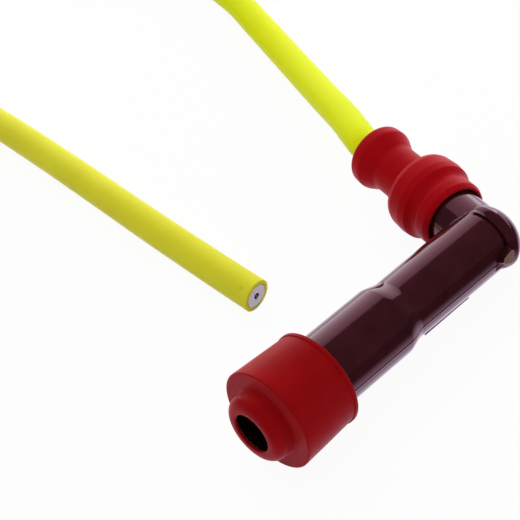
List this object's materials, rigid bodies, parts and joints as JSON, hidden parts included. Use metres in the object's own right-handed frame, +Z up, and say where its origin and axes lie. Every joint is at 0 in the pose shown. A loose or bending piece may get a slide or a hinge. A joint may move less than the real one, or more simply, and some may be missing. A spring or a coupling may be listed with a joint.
{
  "type": "spark plug cap",
  "caption": "Elbow spark plug cap: dark moulded body, red rubber boots at the plug and the lead, resistor and terminal inside, and a yellow high-tension lead with a cut end.",
  "frame": {"origin": "on the surface the cap lies on, below the middle of the cap's box without its free lead; the cap lies on its side as it comes to rest", "axes": "+Z up; -X is the way the barrel points, to the spark plug; +Y is about the way the lead leaves the neck"},
  "size_m": [0.1302, 0.2759, 0.0234],
  "materials": {
    "phenolic": "very dark brown-red phenolic moulding, glossy, with a mould line",
    "boot_rubber": "dark red moulded rubber with a soft sheen",
    "lead_jacket": "bright yellow extruded cable jacket, satin",
    "lead_insulation": "off-white inner insulation",
    "lead_conductor": "fine stranded conductor",
    "brass": "turned and stamped brass",
    "spring_steel": "drawn spring wire",
    "ceramic": "unglazed ceramic rod"
  },
  "bodies": {
    "root": {"body": "phenolic", "plug_boot": "boot_rubber", "cable_boot": "boot_rubber", "cable_screw": "brass", "contact_plate": "brass", "resistor_rod": "ceramic", "resistor_cap_back": "brass", "resistor_cap_front": "brass", "contact_spring": "spring_steel", "plug_terminal": "brass", "terminal_clip": "spring_steel", "lead_end_jacket": "lead_jacket", "lead_end_insulation": "lead_insulation", "lead_end_conductor": "lead_conductor", "lead": "lead_jacket"}
  },
  "joints": []
}
